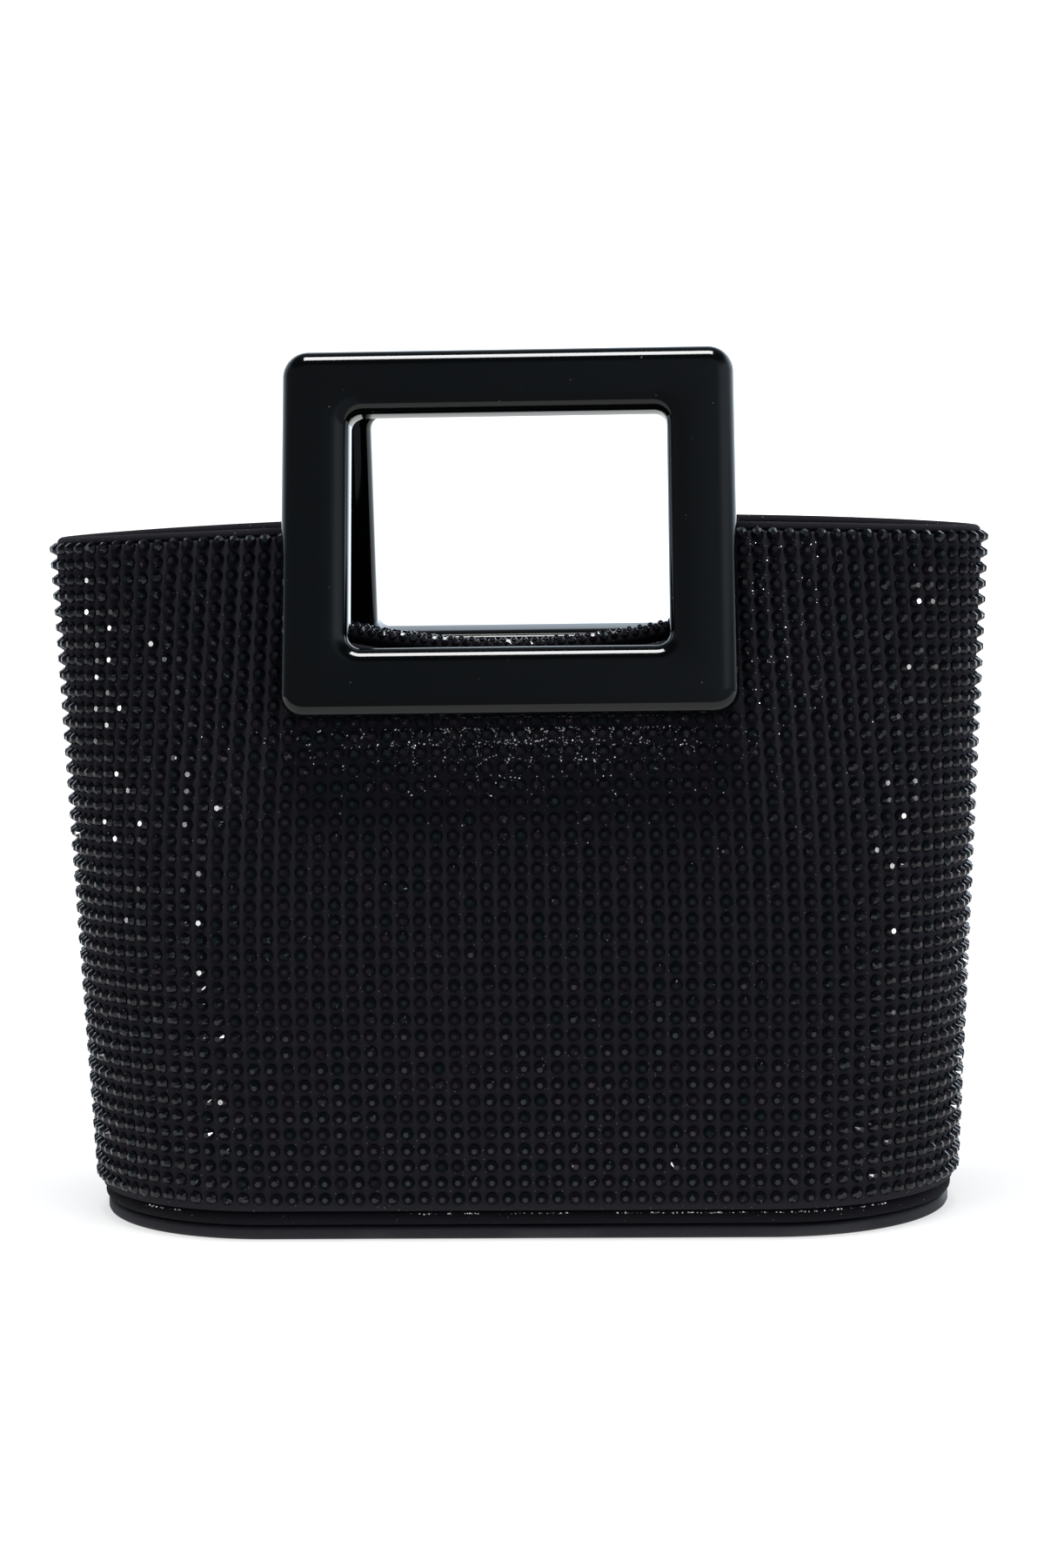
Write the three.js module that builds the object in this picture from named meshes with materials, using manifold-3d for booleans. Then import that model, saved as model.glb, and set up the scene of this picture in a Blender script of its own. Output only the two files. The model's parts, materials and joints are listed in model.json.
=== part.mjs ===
// A stiffened fabric box bag with two square-frame top handles.
// Millimetres, +Z up, front towards -Y, origin at the middle of the base.
import * as THREE from "three";
import { mergeVertices } from "three/addons/utils/BufferGeometryUtils.js";
import Module from "manifold-3d";

const wasm = await Module();
wasm.setup();

// Body
const rimHeight = 167.2;
const rimCornerDrop = 3.2;
const rimHalfWidth = 113.2;
const baseHalfWidth = 104.8;
const baseHalfDepth = 44.5;
const flatHalfWidth = 60;
const wallThickness = 2.2;
const wallLean = THREE.MathUtils.degToRad(12);
const leanStartShare = 0.3;
const sideSeam = 0.3;

// Base board, welt and rim binding
const boardThickness = 3.2;
const boardEdgeRound = 0.8;
const weltHeight = 3.4;
const weltDepth = 4.6;
const weltSetback = 0.4;
const boardInset = 0.8;
const bindingHeight = 1.8;
const bindingWidth = 3.2;
const pieceGap = 0.3;

// Handles
const handleWidth = 107;
const handleLength = 87.3;
const handleTopNarrowing = 1.4;
const handleThickness = 13;
const handleWindowWidth = 75;
const handleWindowHeight = 55.6;
const handleFootBar = 16.6;
const handleCornerRadius = 6;
const windowCornerRadius = 3;
const handleEdgeRadius = 4.4;
const handleLap = 44.6;
const flatBelowHandle = 10;

// Notch in each wall behind the handle's window, and the roll that edges it
const rollRadius = 1.8;
const notchBehindBar = 12;
const frontRollAboveSill = 2.4;
const backRollBelowSill = 2;
const sillRise = 5.2;
const notchCorner = 4;

// Fineness of the facets
const flatSteps = 8;
const endSteps = 13;
const heightSteps = 12;
const roundSteps = 4;
const rollSides = 8;
const rollSteps = 60;

const handleBottom = rimHeight - handleLap;
const weltBottom = boardThickness + pieceGap;
const panelBottom = weltBottom + weltHeight + pieceGap;
const leanStart = rimHeight * leanStartShare;
const leanFull = handleBottom - flatBelowHandle;

// The wall stands upright low down, curves inward, then leans at one angle up to the rim.
function halfDepthAt(z) {
  const slope = Math.tan(wallLean);
  const blend = Math.max(leanFull - leanStart, 1);
  const above = Math.max(z - leanStart, 0);
  if (above < blend) {
    return baseHalfDepth - (slope * above * above) / (2 * blend);
  }
  return baseHalfDepth - (slope * blend) / 2 - slope * (above - blend);
}

function halfWidthAt(z) {
  return THREE.MathUtils.lerp(baseHalfWidth, rimHalfWidth, z / rimHeight);
}

function rimHeightAt(x) {
  return rimHeight - rimCornerDrop * (x / rimHalfWidth) ** 2;
}

// Half of the plan outline, from the left side round the front to the right side.
// A flat middle runs into two quarter ellipses; inset moves it inwards.
function halfOutline(z, inset, seam) {
  const width = halfWidthAt(z) - inset;
  const depth = halfDepthAt(z) - inset - seam / 2;
  const end = [];
  for (let i = 0; i <= endSteps; i += 1) {
    const angle = (Math.PI / 2) * (1 - i / endSteps);
    const x = flatHalfWidth + (width - flatHalfWidth) * Math.sin(angle);
    end.push(new THREE.Vector2(x, -seam / 2 - depth * Math.cos(angle)));
  }
  const points = end.map((p) => new THREE.Vector2(-p.x, p.y));
  for (let i = 1; i < flatSteps; i += 1) {
    const x = THREE.MathUtils.lerp(-flatHalfWidth, flatHalfWidth, i / flatSteps);
    points.push(new THREE.Vector2(x, -seam / 2 - depth));
  }
  return points.concat(end.reverse());
}

// The whole plan outline, counter-clockwise seen from above.
function fullOutline(z, inset) {
  const front = halfOutline(z, inset, 0);
  const back = front.slice(1, -1).map((p) => new THREE.Vector2(-p.x, -p.y));
  return front.concat(back);
}

function geometryFrom(vertices, triangles) {
  const geometry = new THREE.BufferGeometry();
  geometry.setAttribute("position", new THREE.Float32BufferAttribute(vertices.flat(), 3));
  geometry.setIndex(triangles.flat());
  geometry.computeVertexNormals();
  return geometry;
}

// Joins loops of equally many points one after another, and the last to the first.
function tubeOfLoops(loops) {
  const count = loops[0].length;
  const triangles = [];
  loops.forEach((loop, row) => {
    const here = row * count;
    const next = ((row + 1) % loops.length) * count;
    for (let i = 0; i < count; i += 1) {
      const j = (i + 1) % count;
      triangles.push([here + i, here + j, next + j], [here + i, next + j, next + i]);
    }
  });
  return geometryFrom(loops.flat(), triangles);
}

// Stacks closed convex loops into a solid, with a fan over each end.
function stackOfLoops(loops) {
  const count = loops[0].length;
  const vertices = loops.flat();
  const triangles = [];
  for (let row = 0; row + 1 < loops.length; row += 1) {
    for (let i = 0; i < count; i += 1) {
      const j = (i + 1) % count;
      const here = row * count;
      const next = here + count;
      triangles.push([here + i, here + j, next + j], [here + i, next + j, next + i]);
    }
  }
  const top = (loops.length - 1) * count;
  vertices.push([0, 0, loops[0][0][2]], [0, 0, loops[loops.length - 1][0][2]]);
  for (let i = 0; i < count; i += 1) {
    const j = (i + 1) % count;
    triangles.push([vertices.length - 2, j, i], [vertices.length - 1, top + i, top + j]);
  }
  return geometryFrom(vertices, triangles);
}

// A strip whose section is a closed loop of four or more points, with flat ends.
function stripOfSections(sections) {
  const count = sections[0].length;
  const triangles = [];
  for (let row = 0; row + 1 < sections.length; row += 1) {
    for (let i = 0; i < count; i += 1) {
      const j = (i + 1) % count;
      const here = row * count;
      const next = here + count;
      triangles.push([here + i, here + j, next + j], [here + i, next + j, next + i]);
    }
  }
  const last = (sections.length - 1) * count;
  for (let i = 1; i + 1 < count; i += 1) {
    triangles.push([0, i + 1, i], [last, last + i, last + i + 1]);
  }
  return geometryFrom(sections.flat(), triangles);
}

function asSolid(geometry) {
  const bare = geometry.clone();
  bare.deleteAttribute("normal");
  bare.deleteAttribute("uv");
  const merged = mergeVertices(bare, 1e-4);
  const vertProperties = new Float32Array(merged.attributes.position.array);
  const triVerts = new Uint32Array(merged.index.array);
  return new wasm.Manifold(new wasm.Mesh({ numProp: 3, vertProperties, triVerts }));
}

function asGeometry(solid) {
  const mesh = solid.getMesh();
  const geometry = new THREE.BufferGeometry();
  const position = new THREE.Float32BufferAttribute(mesh.vertProperties, 3);
  geometry.setAttribute("position", position);
  geometry.setIndex(Array.from(mesh.triVerts));
  geometry.computeVertexNormals();
  return geometry;
}

// The edging roll's line on one wall: down one side, across the sagging sill and up the other.
// rollTop is the roll's top at the middle of the sill. grow moves the line outwards, into the
// wall, which gives the notch that the roll sits in.
const notchHalfWidth = handleWindowWidth / 2 + notchBehindBar;
const sillTop = handleBottom + handleFootBar * Math.cos(wallLean);

function notchLine(rollTop, grow) {
  const side = notchHalfWidth - rollRadius - pieceGap + grow;
  const corner = notchCorner + grow;
  const reach = side - corner;
  const middle = rollTop - rollRadius - grow;
  const ends = middle + sillRise;
  const bend = ends + (2 * sillRise * corner) / reach;
  const top = rimHeight + bindingHeight;
  const path = new THREE.Path();
  path.moveTo(-side, top);
  path.lineTo(-side, bend + corner);
  path.quadraticCurveTo(-side, bend, -reach, ends);
  path.quadraticCurveTo(0, middle - sillRise, reach, ends);
  path.quadraticCurveTo(side, bend, side, bend + corner);
  path.lineTo(side, top);
  return path;
}

// A solid that cuts the notch out of a wall, open at the top.
function notchCutter(rollTop) {
  const line = notchLine(rollTop, rollRadius + pieceGap);
  const shape = new THREE.Shape();
  const points = line.getPoints(6);
  const high = rimHeight + handleLength;
  shape.moveTo(points[0].x, high);
  points.slice(1, -1).forEach((p) => shape.lineTo(p.x, p.y));
  shape.lineTo(points[points.length - 1].x, high);
  const geometry = new THREE.ExtrudeGeometry(shape, { depth: baseHalfDepth * 2, bevelEnabled: false });
  geometry.rotateX(Math.PI / 2);
  return geometry;
}

// Half of the wall: outer and inner skins from the welt up to the arched rim.
function panelGeometry() {
  const sections = [];
  const count = halfOutline(0, 0, sideSeam).length;
  for (let i = 0; i < count; i += 1) {
    const outer = [];
    const inner = [];
    for (let row = 0; row <= heightSteps; row += 1) {
      const share = row / heightSteps;
      const level = THREE.MathUtils.lerp(panelBottom, rimHeight, share);
      const x = halfOutline(level, 0, sideSeam)[i].x;
      const z = THREE.MathUtils.lerp(panelBottom, rimHeightAt(x), share);
      const out = halfOutline(z, 0, sideSeam)[i];
      const into = halfOutline(z, wallThickness, sideSeam)[i];
      outer.push([out.x, out.y, z]);
      inner.push([into.x, into.y, z]);
    }
    sections.push(outer.concat(inner.reverse()));
  }
  return ribbedShell(sections);
}

// Like a strip, but its end caps are ladders between the outer and the inner skin.
function ribbedShell(sections) {
  const count = sections[0].length;
  const half = count / 2;
  const triangles = [];
  for (let row = 0; row + 1 < sections.length; row += 1) {
    for (let i = 0; i < count; i += 1) {
      const j = (i + 1) % count;
      const here = row * count;
      const next = here + count;
      triangles.push([here + i, next + j, here + j], [here + i, next + i, next + j]);
    }
  }
  const last = (sections.length - 1) * count;
  for (let i = 0; i + 1 < half; i += 1) {
    const outerHere = i;
    const outerNext = i + 1;
    const innerHere = count - 1 - i;
    const innerNext = count - 2 - i;
    triangles.push([outerHere, outerNext, innerNext], [outerHere, innerNext, innerHere]);
    triangles.push([last + outerHere, last + innerNext, last + outerNext]);
    triangles.push([last + outerHere, last + innerHere, last + innerNext]);
  }
  return geometryFrom(sections.flat(), triangles);
}

// Rounded rectangle of the handle, its foot at the given height, moved inwards by inset.
// It narrows a little towards the handle's top.
function frameLoop(width, length, foot, radius, inset, depth) {
  const r = Math.max(radius - inset, 0.2);
  const x = width / 2 - inset - r;
  const z = length / 2 - inset - r;
  const middle = foot + length / 2;
  const loop = [];
  const corners = [
    { x, z: -z, turn: -0.5 },
    { x, z, turn: 0 },
    { x: -x, z, turn: 0.5 },
    { x: -x, z: -z, turn: 1 },
  ];
  corners.forEach((corner) => {
    for (let i = 0; i <= roundSteps; i += 1) {
      const angle = Math.PI * (corner.turn + (0.5 * i) / roundSteps);
      const up = middle + corner.z + r * Math.sin(angle);
      const narrow = 1 - (handleTopNarrowing * (up / handleLength - 0.5)) / handleWidth;
      loop.push([(corner.x + r * Math.cos(angle)) * narrow, -depth, up]);
    }
  });
  return loop;
}

// Square frame with rounded edges; its back lies at y = 0 and its foot at z = 0.
function handleGeometry() {
  const turns = Array.from({ length: roundSteps + 1 }, (_, i) => (Math.PI / 2) * (i / roundSteps));
  const turnsBack = turns.slice().reverse();
  const inset = (turn) => handleEdgeRadius * (1 - Math.cos(turn));
  const near = (turn) => handleThickness - handleEdgeRadius * (1 - Math.sin(turn));
  const far = (turn) => handleEdgeRadius * (1 - Math.sin(turn));
  const outer = (turn, depth) =>
    frameLoop(handleWidth, handleLength, 0, handleCornerRadius, inset(turn), depth);
  const window = (turn, depth) => {
    const high = handleWindowHeight;
    return frameLoop(handleWindowWidth, high, handleFootBar, windowCornerRadius, -inset(turn), depth);
  };
  return tubeOfLoops([
    ...turns.map((turn) => outer(turn, near(turn))),
    ...turnsBack.map((turn) => window(turn, near(turn))),
    ...turns.map((turn) => window(turn, far(turn))),
    ...turnsBack.map((turn) => outer(turn, far(turn))),
  ]);
}

// Roll along the notch, flush with the wall's outer face and following its lean.
function rollGeometry(rollTop) {
  const line = notchLine(rollTop, 0);
  const flat = line.getSpacedPoints(rollSteps);
  const points = flat.map((p) => {
    const y = -halfDepthAt(p.y) + rollRadius / Math.cos(wallLean);
    return new THREE.Vector3(p.x, y, p.y);
  });
  const path = new THREE.CatmullRomCurve3(points);
  const circle = new THREE.Shape();
  for (let i = 0; i < rollSides; i += 1) {
    const angle = (2 * Math.PI * i) / rollSides;
    const x = rollRadius * Math.cos(angle);
    const y = rollRadius * Math.sin(angle);
    if (i === 0) {
      circle.moveTo(x, y);
    } else {
      circle.lineTo(x, y);
    }
  }
  circle.closePath();
  return new THREE.ExtrudeGeometry(circle, { steps: rollSteps, extrudePath: path, curveSegments: 1 });
}

// Rounded ring between the wall's foot and the base board.
function weltGeometry() {
  const middle = weltBottom + weltHeight / 2;
  const loops = [];
  const steps = roundSteps * 2;
  for (let i = 0; i <= steps; i += 1) {
    const angle = Math.PI * (i / steps - 0.5);
    const round = weltHeight / 2;
    const inset = weltSetback + round * (1 - Math.cos(angle));
    const z = middle + round * Math.sin(angle);
    loops.push(fullOutline(middle, inset).map((p) => [p.x, p.y, z]));
  }
  const back = [weltBottom + weltHeight, weltBottom];
  back.forEach((z) => {
    loops.push(fullOutline(middle, weltSetback + weltDepth).map((p) => [p.x, p.y, z]));
  });
  return tubeOfLoops(loops);
}

// Base board with its lower and upper edges eased.
function boardGeometry() {
  const levels = [
    { inset: boardInset + boardEdgeRound, z: 0 },
    { inset: boardInset, z: boardEdgeRound },
    { inset: boardInset, z: boardThickness - boardEdgeRound },
    { inset: boardInset + boardEdgeRound, z: boardThickness },
  ];
  const loops = levels.map((level) => fullOutline(0, level.inset).map((p) => [p.x, p.y, level.z]));
  return stackOfLoops(loops);
}

// Rounded strip over the rim, from the front notch round the left side to the back notch.
// It is set inwards by as much as the handle's back leans over it.
function bindingGeometry() {
  const start = notchHalfWidth + pieceGap;
  const inset = bindingWidth / 2 + (pieceGap + bindingHeight) * Math.tan(wallLean);
  const front = halfOutline(rimHeight, inset, 0).filter((p) => p.x < -start);
  front.push(new THREE.Vector2(-start, -halfDepthAt(rimHeight) + inset));
  const back = front.slice(1).map((p) => new THREE.Vector2(p.x, -p.y));
  const line = back.reverse().concat(front);
  const profile = [
    { across: -1, up: 0 },
    { across: 1, up: 0 },
    { across: 1, up: 0.6 },
    { across: 0.6, up: 1 },
    { across: -0.6, up: 1 },
    { across: -1, up: 0.6 },
  ];
  const sections = line.map((p, i) => {
    const before = line[Math.max(i - 1, 0)];
    const after = line[Math.min(i + 1, line.length - 1)];
    const along = after.clone().sub(before).normalize();
    const foot = rimHeightAt(p.x) + pieceGap;
    return profile.map((corner) => {
      const across = (corner.across * bindingWidth) / 2;
      return [p.x - along.y * across, p.y + along.x * across, foot + corner.up * bindingHeight];
    });
  });
  return stripOfSections(sections);
}

const fabricBlack = new THREE.MeshStandardMaterial({ color: 0x17171b, roughness: 0.85, metalness: 0 });
const suedeBlack = new THREE.MeshStandardMaterial({ color: 0x121214, roughness: 0.95, metalness: 0 });
const resinBlack = new THREE.MeshStandardMaterial({ color: 0x08080a, roughness: 0.12, metalness: 0 });
const boardBlack = new THREE.MeshStandardMaterial({ color: 0x0e0e10, roughness: 0.7, metalness: 0 });

function piece(name, geometry, material, parent) {
  const mesh = new THREE.Mesh(geometry, material);
  mesh.name = name;
  parent.add(mesh);
  return mesh;
}

const bag = new THREE.Group();
const handle = handleGeometry();
const binding = bindingGeometry();

piece("base_board", boardGeometry(), boardBlack, bag);
piece("base_welt", weltGeometry(), suedeBlack, bag);

const walls = [
  { side: "front", turn: 0, rollTop: sillTop + frontRollAboveSill },
  { side: "back", turn: Math.PI, rollTop: sillTop - backRollBelowSill },
];

walls.forEach(({ side, turn, rollTop }) => {
  const half = new THREE.Group();
  half.rotation.z = turn;
  bag.add(half);
  const wall = asSolid(panelGeometry()).subtract(asSolid(notchCutter(rollTop)));
  piece(`${side}_panel`, asGeometry(wall), fabricBlack, half);
  piece(`${side}_window_roll`, rollGeometry(rollTop), suedeBlack, half);
  const frame = piece(`${side}_handle`, handle, resinBlack, half);
  frame.rotation.x = -wallLean;
  frame.position.y = -halfDepthAt(handleBottom) - pieceGap / Math.cos(wallLean);
  frame.position.z = handleBottom;
});

["left", "right"].forEach((side, index) => {
  const strip = piece(`${side}_rim_binding`, binding, suedeBlack, bag);
  strip.rotation.z = Math.PI * index;
});

export default bag;
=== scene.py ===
import json
import math
from functools import cached_property

import bpy
import numpy as np
from mathutils import Matrix, Vector

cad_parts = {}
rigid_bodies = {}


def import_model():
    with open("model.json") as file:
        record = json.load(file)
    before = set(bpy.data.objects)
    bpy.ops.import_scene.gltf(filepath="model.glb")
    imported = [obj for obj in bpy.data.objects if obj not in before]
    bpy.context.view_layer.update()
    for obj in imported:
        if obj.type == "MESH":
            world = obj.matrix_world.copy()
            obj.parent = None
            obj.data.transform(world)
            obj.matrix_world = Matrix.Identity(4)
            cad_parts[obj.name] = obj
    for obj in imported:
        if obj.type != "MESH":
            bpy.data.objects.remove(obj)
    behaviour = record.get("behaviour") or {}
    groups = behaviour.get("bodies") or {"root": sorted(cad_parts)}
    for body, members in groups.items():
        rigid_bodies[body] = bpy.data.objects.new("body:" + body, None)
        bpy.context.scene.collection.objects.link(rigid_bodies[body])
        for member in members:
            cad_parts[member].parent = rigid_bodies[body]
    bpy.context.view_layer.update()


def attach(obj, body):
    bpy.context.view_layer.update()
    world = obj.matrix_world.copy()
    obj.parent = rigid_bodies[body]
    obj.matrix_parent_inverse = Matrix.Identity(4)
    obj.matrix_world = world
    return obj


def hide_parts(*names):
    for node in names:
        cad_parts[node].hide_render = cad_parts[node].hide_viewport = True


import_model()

# A stiffened black cloth bag set with small black stones, with two square resin handles.
# Lengths are millimetres up to new_piece, which turns them into metres. The front is towards -Y.
MM = 0.001
SEED = 17

# Body
RIM_HEIGHT = 167.2
RIM_CORNER_DROP = 3.2
RIM_HALF_WIDTH = 113.2
BASE_HALF_WIDTH = 104.8
BASE_HALF_DEPTH = 44.5
FLAT_HALF_WIDTH = 60.0
WALL = 2.2
LEAN = math.radians(12)
UPRIGHT_SHARE = 0.3
LEAN_START = UPRIGHT_SHARE * RIM_HEIGHT
CLOTH_WAVE = 0.3
WAVE_CALM_FOOT = 12.0
WAVE_FOOT_FADE = 30.0
WAVE_RIM_FADE = 20.0
WAVE_END_RUN = 60.0
WAVE_END_POWER = 8

# Foot and rim
BOARD = 3.2
BOARD_INSET = 0.8
WELT_BOTTOM = 3.5
WELT_HEIGHT = 3.4
WELT_DEPTH = 4.6
WELT_SETBACK = 0.4
PANEL_BOTTOM = 7.2
BINDING_HEIGHT = 1.8
BINDING_WIDTH = 3.2
BINDING_UPRIGHT = 0.25
GAP = 0.3

# Section of the base layer from its underside up, each point an inset and a height
BOARD_SECTION = [(1.6, 0.0), (0.8, 0.12), (0.3, 0.45), (0.0, 1.0),
                 (0.0, BOARD - 0.8), (0.3, BOARD - 0.3), (0.9, BOARD)]

# Handles
HANDLE_WIDTH = 107.0
HANDLE_LENGTH = 87.3
HANDLE_NARROWING = 1.4
HANDLE_THICKNESS = 13.0
WINDOW_WIDTH = 75.0
WINDOW_HEIGHT = 55.6
FOOT_BAR = 16.6
HANDLE_CORNER = 6.0
WINDOW_CORNER = 3.0
HANDLE_EDGE = 4.4
LEAST_CORNER = 0.2
HANDLE_DROP = 44.6
HANDLE_BOTTOM = RIM_HEIGHT - HANDLE_DROP
LEAN_FULL_BELOW = 10.0
LEAN_FULL = HANDLE_BOTTOM - LEAN_FULL_BELOW

# Notch behind each window, and its roll
ROLL_RADIUS = 1.8
NOTCH_MARGIN = 12
NOTCH_HALF_WIDTH = WINDOW_WIDTH / 2 + NOTCH_MARGIN
SILL_TOP = HANDLE_BOTTOM + FOOT_BAR * math.cos(LEAN)
FRONT_ROLL_RISE = 2.4
BACK_ROLL_DROP = 2.0
FRONT_ROLL_TOP = SILL_TOP + FRONT_ROLL_RISE
BACK_ROLL_TOP = SILL_TOP - BACK_ROLL_DROP
SILL_RISE = 5.2
NOTCH_CORNER = 4.0
NOTCH_BRINK = 0.02

# Stones
STONE_COLUMNS = 66
STONE_ROWS = 41
FIRST_ROW = 0.7
LAST_ROW = 10.1
STONE_RADIUS = 1.6
STONE_HEIGHT = 1.6
STONE_GIRDLE = 0.35
STONE_SHOULDER = 0.93
STONE_TABLE = 0.42
STONE_SIDES = 12
STONE_TILT = 3.7
PLACE_SCATTER = 0.05
BESIDE_HANDLE = 1.0
UNDER_HANDLE = 0.2
NUDGED_ROW = 1.3
SIZE_SCATTER = 0.015
TRIM_STONE_RADIUS = 1.1
TRIM_STONE_HEIGHT = 0.95
TRIM_STONE_PITCH = 2.5
TRIM_STONE_SINK = 0.05
ROLL_END_BARE = 2.0

# The two rows on a roll, each its lean into the notch in degrees and its place within the pitch
ROLL_STONE_ROWS = ((90, 0.25), (38, 0.75))

# Half of the span over which the wall's slope is measured
PROBE = 0.5

# Glitter
FLAKE_SIZES = (0.09, 0.27)
FLAKE_SLANT = 0.7
FLAKE_THICKNESS = 0.3
WALL_FLAKES = 1500
WALL_FLAKE_LIFT = 0.03
WALL_FLAKE_MIDDLE = 4.0
WALL_FLAKE_SPREAD = 26.0
WALL_FLAKE_START = 1.5
WALL_FLAKE_FADE = 4.5
WALL_FLAKE_LEVEL = 140.0
FLAKES_BESIDE = 0.12
BESIDE_REACH = (2.0, 20.0)
BESIDE_RIM_DROP = 3.0
WELT_FLAKES = 320
WELT_FLAKE_LIFT = 0.04
WELT_FLAKE_REACH = 95.0
WELT_FLAKE_ANGLES = (36, 44)
WELT_BARE_LEVEL = -0.45

# Fineness of the meshes
END_STEPS = 90
OUTLINE_FLAT_STEPS = 24
WALL_END_STEPS = 36
WALL_CORNER_STEPS = 8
WALL_NOTCH_STEPS = 40
WALL_WING_STEPS = 9
WALL_LEVELS = 70
FOLD_STEPS = 5
NOTCH_UPRIGHT_STEPS = 15
NOTCH_CORNER_STEPS = 13
NOTCH_SILL_STEPS = 61
HANDLE_EDGE_STEPS = 11
HANDLE_CORNER_STEPS = 10
ROLL_SIDES = 16
WELT_STEPS = 15
BINDING_END_STEPS = 60
BINDING_STEPS = 9

# Light
FRONT_FILL = 0.24
BACK_FILL = 1.5
COOL_FILL = (0.86, 0.99, 1.12, 1)
FLOOR_GLOW_NEAR = 0.68
FLOOR_GLOW_FAR = 1.05

# Camera
CAMERA_AT = Vector((48.2, -912.0, 199.8))
CAMERA_YAW = math.radians(3.0)
CAMERA_PITCH = math.radians(5.99)
CAMERA_ROLL = math.radians(-0.92)
FOCAL_PIXELS = 4294.0
IMAGE_HEIGHT = 1802
SENSOR = 36.0


# Form of the wall

def half_depth(z):
    """The wall's half depth: upright low down, then curving into an even lean up to the rim."""
    slope = math.tan(LEAN)
    blend = LEAN_FULL - LEAN_START
    above = np.maximum(np.asarray(z, float) - LEAN_START, 0)
    curved = slope * above**2 / (2 * blend)
    straight = slope * blend / 2 + slope * (above - blend)
    return BASE_HALF_DEPTH - np.where(above < blend, curved, straight)


def half_width(z):
    share = np.asarray(z, float) / RIM_HEIGHT
    return BASE_HALF_WIDTH + (RIM_HALF_WIDTH - BASE_HALF_WIDTH) * share


def rim_height(x):
    return RIM_HEIGHT - RIM_CORNER_DROP * (np.asarray(x, float) / RIM_HALF_WIDTH) ** 2


def cloth_wave(along, z):
    """Slow unevenness of the glued cloth, outwards from the true form: two crossed waves."""
    a = np.asarray(along, float)
    b = np.asarray(z, float)
    upright, sway = 17, 31
    level, slant, broken = 13, 41, 23
    first = np.sin(a / upright + 1.3 * np.sin(b / sway))
    second = np.sin(b / level + a / slant + 0.7) * np.sin(a / broken + 2.1)
    return CLOTH_WAVE * (0.5 * first + 0.5 * second)


def plan_point(flat, turn, z, inset=0.0):
    """A point of the plan outline: flat is x in the flat middle, turn the angle round the end."""
    side = np.sign(flat)
    reach = half_width(z) - inset - FLAT_HALF_WIDTH
    x = flat + side * reach * np.sin(turn)
    y = -(half_depth(z) - inset) * np.cos(turn)
    return x, y


def end_lengths(z):
    """Angles round one end of the outline, and the outline's length up to each of them."""
    turns = np.linspace(0, math.pi / 2, END_STEPS)
    reach = half_width(z) - FLAT_HALF_WIDTH
    depth = half_depth(z)
    steps = np.hypot(np.diff(reach * np.sin(turns)), np.diff(depth * np.cos(turns)))
    return turns, np.concatenate([[0], np.cumsum(steps)])


def outline_reach(z):
    """Length of the outline from the middle of the front to the middle of one end."""
    return FLAT_HALF_WIDTH + end_lengths(z)[1][-1]


def plan_from_distance(distance, z):
    """Turns distance along the outline from the middle of the front into flat and turn."""
    turns, lengths = end_lengths(z)
    distance = np.asarray(distance, float)
    beyond = np.maximum(np.abs(distance) - FLAT_HALF_WIDTH, 0)
    flat = np.clip(distance, -FLAT_HALF_WIDTH, FLAT_HALF_WIDTH)
    return flat, np.interp(beyond, lengths, turns)


def wall_point(flat, turn, z, inset=0.0):
    """A point of the uneven wall. The waves fade out at the foot, the rim and the ends."""
    x, y = plan_point(flat, turn, z, inset)
    from_foot = np.clip((z - WAVE_CALM_FOOT) / WAVE_FOOT_FADE, 0, 1)
    to_rim = np.clip((RIM_HEIGHT - z) / WAVE_RIM_FADE, 0, 1)
    out = cloth_wave(flat + np.sign(flat) * turn * WAVE_END_RUN, z) * from_foot
    out = out * to_rim * (1 - np.abs(np.sin(turn)) ** WAVE_END_POWER)
    normal_x = np.sign(flat) * np.sin(turn)
    normal_y = -np.cos(turn)
    return np.stack([x + out * normal_x, y + out * normal_y, z + 0 * x], -1)


def up_the_wall(flat, turn, z):
    return wall_point(flat, turn, z + PROBE) - wall_point(flat, turn, z - PROBE)


def unit(vectors):
    return vectors / np.linalg.norm(vectors, axis=1, keepdims=True)


def outline(z, inset, turns=40):
    """Closed plan outline at one height, counter-clockwise seen from above."""
    turn = np.linspace(math.pi / 2, 0, turns + 1)
    flat = np.linspace(-FLAT_HALF_WIDTH, FLAT_HALF_WIDTH, OUTLINE_FLAT_STEPS + 1)[1:-1]
    flats_all = np.concatenate([-FLAT_HALF_WIDTH + 0 * turn, flat, FLAT_HALF_WIDTH + 0 * turn])
    turns_all = np.concatenate([turn, 0 * flat, turn[::-1]])
    x, y = plan_point(flats_all, turns_all, z, inset)
    front = np.stack([x, y, z + 0 * x], -1)
    back = front[1:-1] * [-1, -1, 1]
    return np.concatenate([front, back])


# Making pieces

def new_piece(name, points, faces, finishes, replaces=(), smooth=True, sides=None, turned=False):
    """A mesh object that rides with the bag. turned puts a front piece at the back."""
    points = np.asarray(points, float) * MM
    if turned:
        points = points * [-1, -1, 1]
    mesh = bpy.data.meshes.new(name)
    mesh.from_pydata(points.tolist(), [], faces)
    mesh.update()
    flags = [smooth] * len(faces) if isinstance(smooth, bool) else smooth
    mesh.polygons.foreach_set("use_smooth", flags)
    for finish in finishes:
        mesh.materials.append(finish)
    if sides is not None:
        mesh.polygons.foreach_set("material_index", sides)
    piece = bpy.data.objects.new(name, mesh)
    bpy.context.collection.objects.link(piece)
    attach(piece, "root")
    if replaces:
        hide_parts(*replaces)
    return piece


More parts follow.
